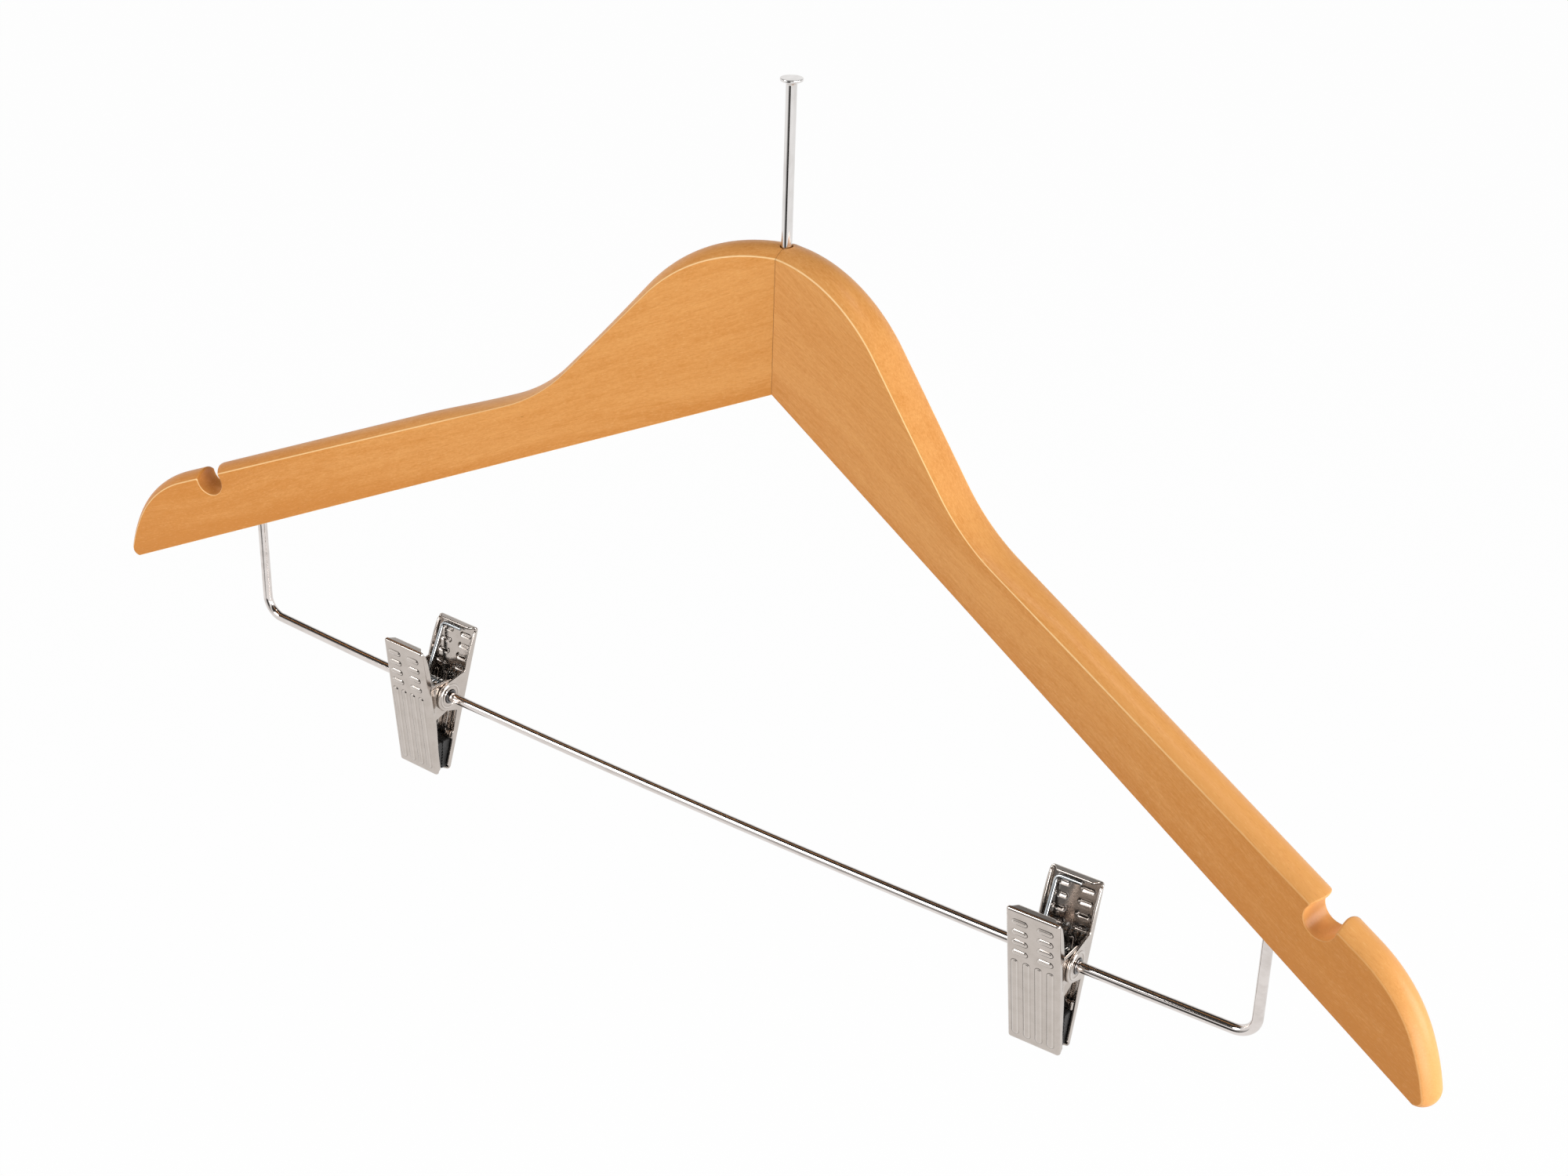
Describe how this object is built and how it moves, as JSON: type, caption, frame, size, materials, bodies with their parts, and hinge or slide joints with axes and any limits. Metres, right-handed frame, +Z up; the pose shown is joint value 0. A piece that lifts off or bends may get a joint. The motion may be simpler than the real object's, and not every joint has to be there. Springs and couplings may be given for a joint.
{
  "type": "clothes hanger",
  "caption": "Wooden hanger with a nail-headed swivel pin instead of a hook, strap notches, a bowed trouser bar and sprung sliding clips.",
  "frame": {"origin": "on the hanging pin's axis, right under its head, where the ring that carries the hanger holds it", "axes": "+Z up along the pin, +X along the skirt bar, -Y to the front, the way the arms sweep"},
  "size_m": [0.4506, 0.0612, 0.234],
  "materials": {
    "wood": "clear satin lacquer over pale honey wood",
    "dowel_wood": "plain turned wood",
    "pin_chrome": "bright plating",
    "bar_chrome": "bright plating",
    "nickel": "bright warm plating on pressed sheet",
    "spring_steel": "drawn wire, lightly plated",
    "steel": "plain drawn steel",
    "pad_rubber": "matt black"
  },
  "bodies": {
    "pin": {"hanging_pin": "pin_chrome"},
    "hanger": {"left_arm": "wood", "right_arm": "wood", "lower_dowel": "dowel_wood", "upper_dowel": "dowel_wood", "retaining_brad": "steel", "skirt_bar": "bar_chrome"},
    "left_slider": {"left_pivot_tube": "steel"},
    "left_rear": {"left_rear_jaw": "nickel", "left_rear_pad": "pad_rubber", "left_spring": "spring_steel"},
    "left_front": {"left_front_jaw": "nickel", "left_front_pad": "pad_rubber"},
    "right_slider": {"right_pivot_tube": "steel"},
    "right_rear": {"right_rear_jaw": "nickel", "right_rear_pad": "pad_rubber", "right_spring": "spring_steel"},
    "right_front": {"right_front_jaw": "nickel", "right_front_pad": "pad_rubber"}
  },
  "joints": [
    {"name": "swivel", "type": "hinge", "parent": "pin", "child": "hanger", "pos_m": [0, 0, 0], "axis": [0, 0, 1], "continuous": true},
    {"name": "left_clip_slide", "type": "hinge", "parent": "hanger", "child": "left_slider", "pos_m": [0, -0.04008, 3.89074], "axis": [0, -1, 0], "range_deg": [-0.73, 1.31]},
    {"name": "left_clip_swing", "type": "hinge", "parent": "left_slider", "child": "left_rear", "pos_m": [-0.1038, -0.04008, -0.20419], "axis": [0.9997, 0, -0.0253], "continuous": true},
    {"name": "left_clip_open", "type": "hinge", "parent": "left_rear", "child": "left_front", "pos_m": [-0.1038, -0.04008, -0.20419], "axis": [-0.9997, 0, 0.0253], "range_deg": [0, 35], "stiffness_Nm_per_rad": 0.2, "springref_deg": -34.38, "deforming": ["left_spring"]},
    {"name": "right_clip_slide", "type": "hinge", "parent": "hanger", "child": "right_slider", "pos_m": [0, -0.04008, 3.89074], "axis": [0, -1, 0], "range_deg": [-1.51, 0.53]},
    {"name": "right_clip_swing", "type": "hinge", "parent": "right_slider", "child": "right_rear", "pos_m": [0.1182, -0.04008, -0.20379], "axis": [0.9996, 0, 0.0289], "continuous": true},
    {"name": "right_clip_open", "type": "hinge", "parent": "right_rear", "child": "right_front", "pos_m": [0.1182, -0.04008, -0.20379], "axis": [-0.9996, 0, -0.0289], "range_deg": [0, 35], "stiffness_Nm_per_rad": 0.2, "springref_deg": -34.38, "deforming": ["right_spring"]}
  ]
}
